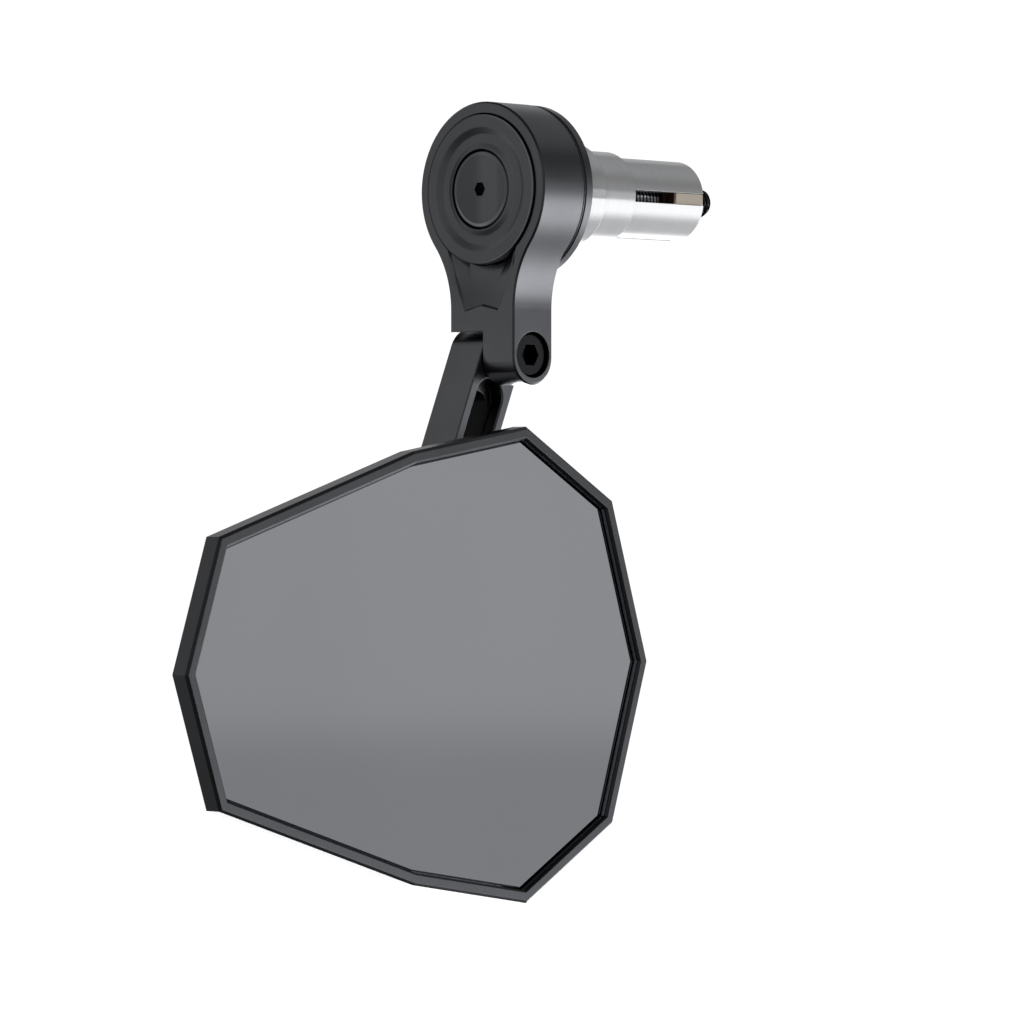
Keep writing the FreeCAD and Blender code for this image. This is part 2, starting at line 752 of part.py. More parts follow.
# Slider: a T-shaped block in the slot that carries the ball, clamped by a screw from behind
def make_slider():
    body = new_body("ball_slider")
    face = "lap_face - lap_play"
    floor = "(%s - slot_depth)" % face
    back = "(%s - tongue_thick)" % face
    head_side = "(slot_half - slider_play)"
    reach = "slider_head_half - " + head_side
    stadium_pads(body, "slider_head", "YZ_Plane", floor, head_side, reach, "-(%s)" % reach,
                 lambda name, sketch: pad(body, name, sketch, "slot_depth - slider_play"))
    stem_side = "(through_half - slider_play)"
    reach = "slider_stem_half - " + stem_side
    stem_back = "%s + slider_stem_short" % back
    stadium_pads(body, "slider_stem", "YZ_Plane", stem_back, stem_side, reach, "-(%s)" % reach,
                 lambda name, sketch: pad(body, name, sketch, "%s - (%s)" % (floor, stem_back)))
    neck = new_sketch(body, "ball_neck_outline", "YZ_Plane", floor)
    circle(neck, "ball_neck_radius")
    pad(body, "ball_neck", neck, "ball_out - %s" % floor)
    ball = body.newObject("PartDesign::AdditiveSphere", "ball")
    ball.Placement = TOWARDS_GLASS
    bind(ball, Radius="ball_radius", Angle1="-ball_flat * 1 deg", Angle2="ball_flat * 1 deg",
         Placement__Base__x="ball_out")
    doc.recompute()
    hole = new_sketch(body, "clamp_hole_outline", "YZ_Plane", back)
    circle(hole, "clamp_screw_radius + running_fit")
    pocket(body, "clamp_hole", hole, "clamp_screw_length + slider_stem_short", forward=True)

    washer_back = "%s - clamp_washer_thick" % back
    washer = turned("clamp_washer", "XZ_Plane", [
        (back, "clamp_screw_radius + running_fit"),
        (back, "clamp_washer_radius"),
        (washer_back, "clamp_washer_radius"),
        (washer_back, "clamp_screw_radius + running_fit"),
    ])
    head_back = "%s - clamp_screw_height" % washer_back
    screw = turned("clamp_screw", "XZ_Plane", [
        (head_back, "0"),
        (head_back, "0.6 * clamp_screw_head"),
        (washer_back + " - 0.3 * clamp_screw_height", "clamp_screw_head"),
        (washer_back, "clamp_screw_head"),
        (washer_back, "clamp_screw_radius"),
        ("%s + clamp_screw_length" % back, "clamp_screw_radius"),
        ("%s + clamp_screw_length" % back, "0"),
    ])
    sketch = new_sketch(screw, "clamp_hex_outline", "YZ_Plane", head_back)
    hexagon(sketch, "clamp_hex")
    pocket(screw, "clamp_socket", sketch, "clamp_hex_depth", forward=True)
    made = [body, washer, screw]
    for thing in made:
        lean(thing, "(arm_reach - mount_short)")
    doc.recompute()
    return made


TOWARDS_GLASS = FreeCAD.Placement(Vector(0, 0, 0), FreeCAD.Rotation(Vector(0, 1, 0), 90))


def sphere(name, radius):
    ball = doc.addObject("Part::Sphere", name)
    ball.Placement = TOWARDS_GLASS
    bind(ball, Radius=radius, Placement__Base__x="ball_out", Placement__Base__y=BALL_Y + SEAT,
         Placement__Base__z=BALL_Z)
    return ball


# Liner: a thin plastic ring round the ball's middle, a little longer towards the arm
def make_liner():
    outside = sphere("liner_outside", "ball_radius + running_fit + liner_thick")
    inside = sphere("liner_inside", "ball_radius + running_fit")
    shell = doc.addObject("Part::Cut", "liner_shell")
    shell.Base = outside
    shell.Tool = inside
    band = doc.addObject("Part::Cylinder", "liner_band")
    band.Placement = TOWARDS_GLASS
    bind(band, Radius="2 * ball_radius", Height="liner_lip + liner_depth",
         Placement__Base__x="ball_out - liner_lip", Placement__Base__y=BALL_Y + SEAT,
         Placement__Base__z=BALL_Z)
    liner = doc.addObject("Part::Common", "ball_liner")
    liner.Base = shell
    liner.Tool = band
    liner.Label = "ball_liner"
    doc.recompute()
    return liner


# Clamp ring: screws onto the boss of the shell and holds the liner and ball in
def make_clamp_ring():
    cavity = "ball_radius + running_fit + liner_thick + socket_play"
    body = new_body("clamp_ring")
    sketch = new_sketch(body, "clamp_ring_profile", "XZ_Plane")
    outline(sketch, [
        ("-ring_lip", "0"),
        ("-ring_lip", "ring_radius"),
        ("ring_skirt", "ring_radius"),
        ("ring_skirt", "boss_radius + running_fit"),
        ("0", "boss_radius + running_fit"),
        ("0", "0"),
    ])
    spin = feature(body, "Revolution", "clamp_ring_turned", sketch)
    spin.ReferenceAxis = (sketch, ["H_Axis"])
    spin.Angle = 360.0
    doc.recompute()
    hollow = body.newObject("PartDesign::SubtractiveSphere", "ring_hollow")
    bind(hollow, Radius=cavity)
    notch = new_sketch(body, "notch_outline", "YZ_Plane", "-ring_lip")
    circle(notch, "ring_notch_radius", ("0", "ring_radius + ring_notch_radius / 2"))
    cut = pocket(body, "notch", notch, forward=True)
    doc.recompute()
    notches = body.newObject("PartDesign::PolarPattern", "notches")
    notches.Originals = [cut]
    notches.Axis = (sketch, ["H_Axis"])
    notches.Angle = 360.0
    notches.Occurrences = 4
    body.Tip = notches
    bind(body, Placement__Base__x="ball_out", Placement__Base__y=BALL_Y + SEAT,
         Placement__Base__z=BALL_Z)
    doc.recompute()
    return body


MIRROR_SIDES = [("-", "shoulder_left"), ("-", "bend_left"), ("-", "bend_right"), ("", "shoulder_right")]


def mirror_corners():
    """Corners of the mirror head's ten-sided outline, anticlockwise seen from the front."""
    low = [(sign + name, "-mirror_drop - %s_half" % name) for sign, name in MIRROR_SIDES]
    top = [(sign + name, "-mirror_drop + %s_half" % name) for sign, name in MIRROR_SIDES]
    return [("-tip_left", "-mirror_drop")] + low + [("tip_right", "-mirror_drop")] + top[::-1]


def inset_numbers(amount):
    """The same corners as numbers, with every side moved inwards by the amount."""
    drop = size("mirror_drop")
    low, top = [], []
    for sign, name in MIRROR_SIDES:
        along = -size(name) if sign else size(name)
        low.append(Vector(along, -drop - size(name + "_half"), 0))
        top.append(Vector(along, -drop + size(name + "_half"), 0))
    ends = [Vector(-size("tip_left"), -drop, 0), Vector(size("tip_right"), -drop, 0)]
    corners = [ends[0]] + low + [ends[1]] + top[::-1]
    moved = []
    for i, corner in enumerate(corners):
        before = (corner - corners[i - 1]).normalize()
        after = (corners[(i + 1) % len(corners)] - corner).normalize()
        normals = [Vector(-side.y, side.x, 0) for side in (before, after)]
        reach = amount / (1 + normals[0].dot(normals[1]))
        moved.append(corner + (normals[0] + normals[1]) * reach)
    return moved


def inset_outline(sketch, amount, number):
    """Outline parallel to the mirror head's own, a distance inside it."""
    outer = outline(sketch, mirror_corners(), inset_numbers(0), construction=True)
    inner = chain(sketch, inset_numbers(number))
    for i in range(len(mirror_corners())):
        sketch.addConstraint(Sketcher.Constraint("Parallel", inner + i, outer + i))
        rule = Sketcher.Constraint("Distance", inner + i, 1, outer + i, number)
        index = sketch.addConstraint(rule)
        sketch.setExpression("Constraints[%d]" % index, cells(amount))


# Mirror head: ten-sided shell, glass in its recess and the pad that holds the glass
def make_shell():
    body = new_body("mirror_shell")
    side_back = "mirror_front - shell_side"
    wall = new_sketch(body, "shell_outline", "YZ_Plane", side_back)
    outline(wall, mirror_corners())
    pad(body, "shell_wall", wall, "shell_side")
    doc.recompute()
    front = edges(body, lambda edge, mid: abs(mid.x - size("mirror_front")) < FIT)
    dress(body, "Chamfer", "front_chamfer", front, "shell_chamfer")
    plateau = new_sketch(body, "plateau_outline", "YZ_Plane", "mirror_front - shell_back")
    inset_outline(plateau, "back_inset", size("back_inset"))
    base = new_sketch(body, "back_base_outline", "YZ_Plane", side_back)
    outline(base, mirror_corners())
    back = feature(body, "AdditiveLoft", "sloping_back", base)
    back.Sections = [(plateau, [""])]
    back.Ruled = True
    doc.recompute()

    boss = new_sketch(body, "boss_outline", "YZ_Plane", "ball_out + running_fit")
    circle(boss, "boss_radius", (BALL_Y, BALL_Z))
    pad(body, "boss", boss, "mirror_front - shell_floor - ball_out - running_fit")
    recess = new_sketch(body, "glass_recess_outline", "YZ_Plane", "mirror_front")
    inset_outline(recess, "rim_width", size("rim_width"))
    pocket(body, "glass_recess", recess, "shell_floor")
    doc.recompute()
    mouth = new_sketch(body, "recess_mouth_outline", "YZ_Plane", "mirror_front")
    inset_outline(mouth, "rim_width - rim_edge", size("rim_width") - size("rim_edge"))
    throat = new_sketch(body, "recess_throat_outline", "YZ_Plane", "mirror_front - rim_edge")
    inset_outline(throat, "rim_width", size("rim_width"))
    bevel = feature(body, "SubtractiveLoft", "rim_inner_edge", mouth)
    bevel.Sections = [(throat, [""])]
    bevel.Ruled = True
    doc.recompute()
    cavity = "ball_radius + running_fit + liner_thick + socket_play"
    socket = body.newObject("PartDesign::SubtractiveSphere", "ball_socket")
    socket.Placement = TOWARDS_GLASS
    bind(socket, Radius=cavity, Angle1="-90 deg", Angle2="asin(socket_depth / (%s))" % cavity,
         Placement__Base__x="ball_out", Placement__Base__y=BALL_Y, Placement__Base__z=BALL_Z)
    doc.recompute()
    well = new_sketch(body, "socket_well_outline", "YZ_Plane", "ball_out")
    circle(well, "sqrt((%s) ^ 2 - socket_depth ^ 2) - running_fit" % cavity, (BALL_Y, BALL_Z))
    pocket(body, "socket_well", well, cavity, forward=True)
    doc.recompute()
    return body


def make_glass():
    front = "mirror_front - glass_sunk"
    glass = new_body("mirror_glass")
    pane = new_sketch(glass, "glass_outline", "YZ_Plane", "%s - glass_thick" % front)
    inset = "rim_width + glass_gap"
    inset_outline(pane, inset, size("rim_width") + size("glass_gap"))
    pad(glass, "pane", pane, "glass_thick")
    doc.recompute()
    front_x = size("mirror_front") - size("glass_sunk")
    border = edges(glass, lambda edge, mid: abs(mid.x - front_x) < FIT)
    dress(glass, "Chamfer", "glass_edge", border, "glass_bevel")

    backing = new_body("glass_pad")
    sheet_outline = new_sketch(backing, "pad_outline", "YZ_Plane", "mirror_front - shell_floor")
    inset_outline(sheet_outline, "rim_width + pad_gap", size("rim_width") + size("pad_gap"))
    pad(backing, "pad_sheet", sheet_outline, "shell_floor - glass_sunk - glass_thick")
    doc.recompute()
    return [glass, backing]


nodes = [make_hub(), make_sleeve(), make_cone_nut()]
nodes += make_bolt()
nodes += make_friction_rings()
nodes += [make_cover_disc(), make_cap(), make_upper_arm()]
nodes += make_hinge()
nodes.append(make_lower_arm())
nodes += make_slider()
nodes += [make_liner(), make_clamp_ring(), make_shell()]
nodes += make_glass()
doc.recompute()

for thing in doc.Objects:
    failed = [word for word in ("Invalid", "Error") if word in thing.State]
    if failed:
        raise RuntimeError("%s is %s" % (thing.Label, failed))
for node in nodes:
    if node.Shape.isNull() or not node.Shape.isValid():
        raise RuntimeError("%s has no sound shape" % node.Label)
    if len(node.Shape.Solids) != 1:
        raise RuntimeError("%s has %d solids" % (node.Label, len(node.Shape.Solids)))

os.makedirs("parts", exist_ok=True)
for node in nodes:
    node.Shape.exportStep("parts/%s.step" % node.Label)
    box = node.Shape.BoundBox
    print("%-24s volume %9.1f  X %7.2f %7.2f  Y %7.2f %7.2f  Z %7.2f %7.2f" % (
        node.Label, node.Shape.Volume, box.XMin, box.XMax, box.YMin, box.YMax, box.ZMin, box.ZMax))
print(len(nodes), "nodes")
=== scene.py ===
import math

import bmesh
import bpy
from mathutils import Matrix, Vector


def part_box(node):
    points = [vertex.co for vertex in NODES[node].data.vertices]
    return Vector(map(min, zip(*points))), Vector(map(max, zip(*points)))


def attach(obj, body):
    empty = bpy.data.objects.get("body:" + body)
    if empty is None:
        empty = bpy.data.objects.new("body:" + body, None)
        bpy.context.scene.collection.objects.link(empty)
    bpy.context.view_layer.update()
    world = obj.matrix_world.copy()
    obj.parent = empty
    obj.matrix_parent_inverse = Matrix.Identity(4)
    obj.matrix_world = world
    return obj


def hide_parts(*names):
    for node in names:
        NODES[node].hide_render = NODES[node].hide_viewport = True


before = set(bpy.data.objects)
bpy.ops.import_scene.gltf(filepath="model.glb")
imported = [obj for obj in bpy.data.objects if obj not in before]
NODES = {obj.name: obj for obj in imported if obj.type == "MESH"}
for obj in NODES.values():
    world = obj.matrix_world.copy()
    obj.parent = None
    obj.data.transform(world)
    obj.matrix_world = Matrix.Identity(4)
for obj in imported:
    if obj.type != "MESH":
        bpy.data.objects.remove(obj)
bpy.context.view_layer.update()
MM = 0.001

# Camera, as solved from the circles, the plug and the arm: pixels, metres and degrees
PHOTO_WIDTH = 1024.0
FOCAL_LENGTH = 4986.8
SENSOR_WIDTH = 36.0
CAMERA_PLACE = (0.70724, -0.72361, -0.06433)
CAMERA_TURN = 45.0

# White ground and lamps, in metres: a lamp has a name, a place, the length of its side and its power
WHITE = (1.0, 1.0, 1.0, 1.0)
FLOOR_HALF, FLOOR_HEIGHT = 6.0, -0.30
FLOOR_COLOUR, FLOOR_GLOW = (0.9, 0.9, 0.9, 1.0), 0.95
LAMP_TARGET = (0.0, 0.0, -0.06)
LAMPS = [("soft_key", (0.6, -0.9, 0.9), 0.5, 6.2), ("floor_glow", (0.0, 0.0, -0.28), 1.0, 2.2)]

# Studio that the metal and the glass reflect, by the direction looked in. Four numbers say where a change
# starts and ends and the levels before and after it; two say where it starts and ends, from nought to one
STUDIO_TINT = (0.985, 0.99, 1.0, 1.0)
WHITE_STRENGTH = 1.05
WALL_BY_HEIGHT = [(0.25, 0.48, 0.16, 0.08), (0.50, 0.70, 0.0, 0.16), (0.75, 0.88, 0.0, -0.12)]
LEFT_WALL_BY_HEIGHT = (0.50, 0.70, 0.45, 0.10)
TABLE_BY_HEIGHT = [(-0.42, -0.66, 1.75, 0.5), (-0.72, -0.86, 0.0, -0.38)]
LEFT_TABLE_GAIN = 1.7
LEFT_SIDE = (-0.15, -0.55)
TABLE_EDGE = (-0.055, -0.13)
FRONT_BY_SIDE = (-0.2, 0.7, 0.29, 0.11)
FRONT_BY_HEIGHT = [(0.53, 0.70, 1.0, 0.15), (-0.36, -0.50, 1.0, 0.12)]
BAR_SIDE = (0.25, 0.50)
CARD_WIDTH = [(-0.12, -0.10), (0.105, 0.090)]
CARD_HEIGHT = [(-0.105, -0.090), (0.16, 0.12)]
CARD_BEFORE_GLASS = (0.2, 0.4)
CARD_BY_HEIGHT = (-0.038, -0.051, 0.54, 0.415)
CARD_BY_WIDTH = (0.030, 0.034, 1.0, 0.97)

# Places on the part where light and shade are painted into its metal, in millimetres and radians
NECK_FRONT, TROUGH_BACK, TROUGH_HALF = -25.0, -20.0, 8.6
SKIN = 0.1
HINGE_Y, HINGE_Z, LEAN = -19.45, -33.05, math.radians(22.4)
SLOT_HALF, SLOT_MOUTH, SLOT_STEP = 3.75, -0.12, -3.1
DISC_RIM, DISC_SIDES = 14.65, (-9.0, 9.0)
CAP_RIM = (6.85, 7.45)
IN_MIRROR_HEAD = (0.0, -20.0, -94.45)
WALL_FOOT = (13.3, 14.2)

# Expander bolt, in millimetres along the plug's axis and from it
HEAD_FACE, HEAD_EDGE, SOCKET_FLOOR, HEAD_SEAT = -17.8, -17.5, -15.6, -13.8
HEAD_RADIUS, HEAD_FACE_RADIUS = 5.0, 4.7
SOCKET_WIDTH, SOCKET_MOUTH_WIDTH = 5.0, 5.6
THREAD_START, THREAD_END = 5.0, 39.7
THREAD_RADIUS, THREAD_PITCH, THREAD_DEPTH = 3.0, 1.0, 0.52
CREST_SHARE, FLANK_SHARE = 0.125, 0.75
END_DROP, END_SLOPE = 0.1, 0.8
AXIS_RADIUS, TIP_RADIUS = 0.05, 0.3
BOLT_SIDES, RINGS_PER_TURN = 48, 8

# Friction ring between the eye and the flange, in millimetres
RING_BORE, RING_RADIUS, RING_SIDES = 11.0, 17.25, 128

SHARP_ANGLE = 35.0
BEVEL_SAMPLES = 6
NOISE_RANGE = (0.3, 0.7)
ARM_TONE, ARM_ROUGHNESS = 0.235, 0.30


class Tree:
    """Adds nodes to a node tree and joins them with short calls."""

    def __init__(self, tree):
        self.tree = tree
        self.tree.nodes.clear()

    def add(self, kind, inputs=None, **settings):
        node = self.tree.nodes.new(kind)
        for name, value in settings.items():
            setattr(node, name, value)
        for key, value in (inputs or {}).items():
            socket = node.inputs[key]
            if isinstance(value, bpy.types.NodeSocket):
                self.tree.links.new(value, socket)
            else:
                socket.default_value = value
        return node

    def math(self, operation, first, second):
        return self.add("ShaderNodeMath", {0: first, 1: second}, operation=operation).outputs[0]

    def product(self, *values):
        result = values[0]
        for value in values[1:]:
            result = self.math("MULTIPLY", result, value)
        return result

    def total(self, *values):
        result = values[0]
        for value in values[1:]:
            result = self.math("ADD", result, value)
        return result

    def ramp(self, value, low, high, start=0.0, end=1.0):
        """Maps value smoothly from low..high to start..end, held at both ends."""
        node = self.add("ShaderNodeMapRange", {"Value": value, "From Min": low, "From Max": high,
                                               "To Min": start, "To Max": end},
                        interpolation_type="SMOOTHSTEP", clamp=False)
        return node.outputs[0]

    def ramp_mm(self, value, low, high, start=0.0, end=1.0):
        """The same with low and high in millimetres."""
        return self.ramp(value, low * MM, high * MM, start, end)

    def between(self, value, low, high):
        """One where the value is between two numbers, and nought elsewhere."""
        return self.product(self.math("GREATER_THAN", value, low), self.math("LESS_THAN", value, high))

    def between_mm(self, value, low, high):
        return self.between(value, low * MM, high * MM)

    def blend(self, factor, first, second):
        """Mixes two numbers."""
        node = self.add("ShaderNodeMix", {0: factor, 2: first, 3: second}, data_type="FLOAT")
        return node.outputs[0]

    def mix(self, factor, first, second):
        """Mixes two colours."""
        node = self.add("ShaderNodeMix", {0: factor, 6: first, 7: second}, data_type="RGBA")
        return node.outputs[2]

    def vector(self, operation, first, second):
        return self.add("ShaderNodeVectorMath", {0: first, 1: second}, operation=operation).outputs

    def axes(self, vector):
        """X, Y and Z of a vector."""
        return self.add("ShaderNodeSeparateXYZ", {0: vector}).outputs

    def place(self):
        """Place on a piece at rest, in metres of the shared frame, whatever the pose."""
        return self.add("ShaderNodeTexCoord").outputs["Object"]

    def facing(self):
        """The way the surface faces, without bump."""
        return self.add("ShaderNodeNewGeometry").outputs["True Normal"]

    def from_axis(self, place):
        """Distance from the plug's axis."""
        flat = self.vector("MULTIPLY", place, (1.0, 0.0, 1.0))["Vector"]
        length = self.add("ShaderNodeVectorMath", {0: flat}, operation="LENGTH")
        return length.outputs["Value"]

    def noise(self, place, scale, detail, roughness=0.5):
        return self.add("ShaderNodeTexNoise", {"Vector": place, "Scale": scale, "Detail": detail,
                                               "Roughness": roughness}).outputs[0]


def millimetres(*values):
    return tuple(value * MM for value in values)


def grey(value):
    return (value, value * 1.02, value * 1.08, 1.0)


def make_camera():
    """Camera at the photograph's place: level, 45 degrees between the plug and the glass's front."""
    data = bpy.data.cameras.new("camera")
    data.sensor_width = SENSOR_WIDTH
    data.lens = FOCAL_LENGTH / PHOTO_WIDTH * SENSOR_WIDTH
    data.clip_start = 0.02
    data.clip_end = 60.0
    camera = bpy.data.objects.new("camera", data)
    camera.location = CAMERA_PLACE
    camera.rotation_euler = (math.radians(90.0), 0.0, math.radians(CAMERA_TURN))
    bpy.context.scene.collection.objects.link(camera)
    bpy.context.scene.camera = camera


def bar_side(tree, x, z):
    """Level on the bar's side: a dark wall, greyer to the left, over a bright table that is brightest
    near its edge and to the left."""
    left = tree.ramp(x, *LEFT_SIDE)
    wall = tree.total(*(tree.ramp(z, *change) for change in WALL_BY_HEIGHT))
    wall = tree.blend(left, wall, tree.ramp(z, *LEFT_WALL_BY_HEIGHT))
    table = tree.total(*(tree.ramp(z, *change) for change in TABLE_BY_HEIGHT))
    table = tree.product(table, tree.blend(left, 1.0, LEFT_TABLE_GAIN))
    return tree.blend(tree.ramp(z, *TABLE_EDGE), wall, table)


def make_world():
    """Studio as the black metal shows it: the wall and table on the bar's side, an even grey on the
    camera's side that goes dark high up and low down, and a grey card that only the glass shows. The
    camera itself sees plain white."""
    world = bpy.data.worlds.new("studio")
    bpy.context.scene.world = world
    world.use_nodes = True
    tree = Tree(world.node_tree)
    direction = tree.axes(tree.add("ShaderNodeTexCoord").outputs["Generated"])
    x, y, z = direction["X"], direction["Y"], direction["Z"]

    front = tree.product(tree.ramp(x, *FRONT_BY_SIDE),
                         *(tree.ramp(z, *change) for change in FRONT_BY_HEIGHT))
    level = tree.blend(tree.ramp(y, *BAR_SIDE), front, bar_side(tree, x, z))

    across = tree.product(tree.math("SUBTRACT", x, y), math.sqrt(0.5))
    card = tree.product(*(tree.ramp(across, *edge) for edge in CARD_WIDTH),
                        *(tree.ramp(z, *edge) for edge in CARD_HEIGHT),
                        tree.ramp(x, *CARD_BEFORE_GLASS))
    card_level = tree.product(tree.ramp(z, *CARD_BY_HEIGHT), tree.ramp(across, *CARD_BY_WIDTH))
    level = tree.blend(card, level, card_level)

    studio = tree.add("ShaderNodeBackground", {"Color": STUDIO_TINT, "Strength": level})
    white = tree.add("ShaderNodeBackground", {"Color": WHITE, "Strength": WHITE_STRENGTH})
    seen = tree.add("ShaderNodeLightPath").outputs["Is Camera Ray"]
    either = tree.add("ShaderNodeMixShader", {0: seen, 1: studio.outputs[0], 2: white.outputs[0]})
    tree.add("ShaderNodeOutputWorld", {"Surface": either.outputs[0]})


def make_lamp(name, place, side, power):
    """Soft lamp that lights what is dull and doesn't show in what shines."""
    data = bpy.data.lights.new(name, "AREA")
    data.size = side
    data.energy = power
    lamp = bpy.data.objects.new(name, data)
    lamp.location = place
    towards = Vector(LAMP_TARGET) - Vector(place)
    lamp.rotation_euler = towards.to_track_quat("-Z", "Y").to_euler()
    lamp.visible_camera = False
    lamp.visible_glossy = False
    bpy.context.scene.collection.objects.link(lamp)


def new_material(name):
    material = bpy.data.materials.new(name)
    material.use_nodes = True
    return material, Tree(material.node_tree)


def finish_material(tree, inputs):
    shader = tree.add("ShaderNodeBsdfPrincipled", inputs)
    tree.add("ShaderNodeOutputMaterial", {"Surface": shader.outputs[0]})


def make_floor():
    """White ground that only the camera sees."""
    mesh = bpy.data.meshes.new("floor")
    sides = ((-1, -1), (1, -1), (1, 1), (-1, 1))
    mesh.from_pydata([(FLOOR_HALF * x, FLOOR_HALF * y, FLOOR_HEIGHT) for x, y in sides], [],
                     [(0, 1, 2, 3)])
    floor = bpy.data.objects.new("floor", mesh)
    bpy.context.scene.collection.objects.link(floor)
    floor.visible_glossy = False
    floor.visible_diffuse = False
    material, tree = new_material("floor_white")
    finish_material(tree, {"Base Color": FLOOR_COLOUR, "Roughness": 0.9, "Emission Color": WHITE,
                           "Emission Strength": FLOOR_GLOW})
    floor.data.materials.append(material)


# Painted light and shade: how much brighter or darker a piece's metal is painted from place to place.
# Each of these functions gives a number that the base colour is multiplied by
def trough_painted_shade(tree, place):
    """Upper arm, painted shade and highlight: a little darker round the eye, painted shade on the floor
    of the trough and a painted highlight on its low walls, most on the right side of its pointed foot."""
    spot = tree.axes(place)
    front = tree.math("LESS_THAN", tree.axes(tree.facing())["Y"], -0.85)
    face = tree.ramp_mm(spot["Z"], -30.0, -18.0, 1.0, 0.84)
    floor = tree.ramp_mm(spot["X"], -3.0, 10.0, 0.62, 0.86)
    wall = tree.ramp_mm(spot["Z"], -26.0, -17.0, 1.2, 1.0)
    foot = tree.product(tree.ramp_mm(spot["X"], 0.0, 1.0), tree.ramp_mm(spot["Z"], -23.0, -24.5))
    wall = tree.blend(foot, wall, 3.2)
    # Inside the trough the floor gets painted shade and the walls a painted highlight
    in_trough = tree.product(tree.between_mm(spot["Y"], NECK_FRONT + SKIN, TROUGH_BACK),
                          tree.ramp_mm(spot["Z"], -15.0, -21.5),
                          tree.between_mm(spot["X"], -TROUGH_HALF, TROUGH_HALF))
    return tree.blend(in_trough, tree.blend(front, 1.0, face), tree.blend(front, wall, floor))


def slot_painted_shade(tree, place):
    """Lower arm: painted shade, nearly black in the slot under its first step, and dark where it faces
    up.
    """
    spread = (0.0, math.cos(LEAN), -math.sin(LEAN))
    middle = HINGE_Y * spread[1] + HINGE_Z * spread[2]
    across = tree.vector("DOT_PRODUCT", place, spread)["Value"]
    side = tree.axes(place)["X"]
    facing = tree.axes(tree.facing())
    step = tree.product(tree.math("GREATER_THAN", facing["X"], 0.9),
                        tree.math("GREATER_THAN", side, SLOT_STEP * MM))
    deep = tree.product(tree.between_mm(across, middle - SLOT_HALF, middle + SLOT_HALF),
                        tree.math("LESS_THAN", side, SLOT_MOUTH * MM))
    up_facing_shade = tree.ramp(facing["Z"], 0.44, 0.58, 1.0, 0.12)
    return tree.blend(step, tree.blend(deep, up_facing_shade, 0.08), 1.0)


def disc_painted_light(tree, place):
    """Cover disc, painted light: the slopes of its groove are painted a little brighter, most to the
    right, and its rim has painted shade to the left and a painted highlight to the right."""
    slope = tree.between(tree.axes(tree.facing())["Y"], -0.97, -0.80)
    side = tree.axes(place)["X"]
    rim = tree.product(tree.math("GREATER_THAN", tree.from_axis(place), DISC_RIM * MM),
                       tree.ramp_mm(side, *DISC_SIDES, -0.6, 0.9))
    groove = tree.blend(slope, 1.0, tree.ramp_mm(side, *DISC_SIDES, 0.97, 1.22))
    return tree.total(groove, rim)


def cap_painted_sheen(tree, place):
    """Centre cap, faced on a lathe, with painted reflections: a dull left half, a painted bright streak
    right of the middle and a painted highlight on the rim that is brightest low on the left."""
    spot = tree.axes(place)
    face = tree.product(tree.ramp_mm(spot["X"], -2.0, 1.5, 0.84, 1.17),
                        tree.ramp_mm(spot["X"], 4.3, 5.6, 1.0, 0.82))
    rim = tree.product(tree.between_mm(tree.from_axis(place), *CAP_RIM),
                       tree.ramp_mm(spot["Z"], -1.0, -4.5, 0.3, 1.5),
                       tree.ramp_mm(spot["X"], 4.0, 0.0, 0.3, 1.0))
    return tree.total(face, rim)


def recess_painted_highlight(tree, place):
    """Mirror shell: a painted highlight, a bright line at the foot of the wall round the glass, on its
    sides next to the bar. That wall faces into the head and the outer wall faces out of it."""
    facing = tree.facing()
    outwards = tree.vector("SUBTRACT", place, millimetres(*IN_MIRROR_HEAD))["Vector"]
    inner = tree.math("LESS_THAN", tree.vector("DOT_PRODUCT", facing, outwards)["Value"], 0.0)
    foot = tree.product(tree.between_mm(tree.axes(place)["X"], *WALL_FOOT), inner,
                        tree.math("LESS_THAN", tree.axes(facing)["Y"], -0.3))
    return tree.blend(foot, 1.0, 6.5)


def bolt_painted_glints(tree, place):
    """Expander bolt: painted glints on bright crests and painted shade in black valleys, and darker where
    it sticks out of the plug.
    """
    crest = tree.ramp_mm(tree.from_axis(place), 2.65, 2.9, 0.08, 1.7)
    return tree.product(crest, tree.ramp_mm(tree.axes(place)["Y"], 31.0, 33.0, 1.0, 0.15))


def relief(tree, height, strength, distance, edge):
    """Normal of a fine relief on a surface whose edges look a little rounded. The relief's depth and
    the edges' radius are in millimetres."""
    soft = tree.add("ShaderNodeBevel", {"Radius": edge * MM}, samples=BEVEL_SAMPLES)
    bump = tree.add("ShaderNodeBump", {"Height": height, "Strength": strength,
                                       "Distance": distance * MM, "Normal": soft.outputs[0]})
    return bump.outputs[0]


def satin_black(name, base, roughness, grain=0.12, edge=0.18, shade=None, turned=0.0):
    """Bead-blasted, black anodised aluminium: a dark metal with a fine even grain and soft edges. The
    edges' radius is in millimetres, and metal that is turned shines round the plug's axis."""
    material, tree = new_material(name)
    place = tree.place()
    fine = tree.noise(place, 5200.0, 2.0, roughness=0.55)
    broad = tree.noise(place, 90.0, 3.0)
    colour = tree.mix(tree.ramp(broad, *NOISE_RANGE), grey(base * 0.95), grey(base * 1.05))
    # The shade function paints light and shade into the base colour
    if shade:
        colour = tree.add("ShaderNodeVectorMath", {0: colour, "Scale": shade(tree, place)},
                          operation="SCALE").outputs[0]
    inputs = {"Base Color": colour, "Metallic": 1.0,
              "Roughness": tree.ramp(fine, *NOISE_RANGE, roughness - 0.02, roughness + 0.03),
              "Normal": relief(tree, fine, grain, 0.02, edge)}
    if turned:
        ring = tree.add("ShaderNodeTangent", direction_type="RADIAL", axis="Y")
        inputs.update({"Anisotropic": turned, "Tangent": ring.outputs[0]})
    finish_material(tree, inputs)
    return material


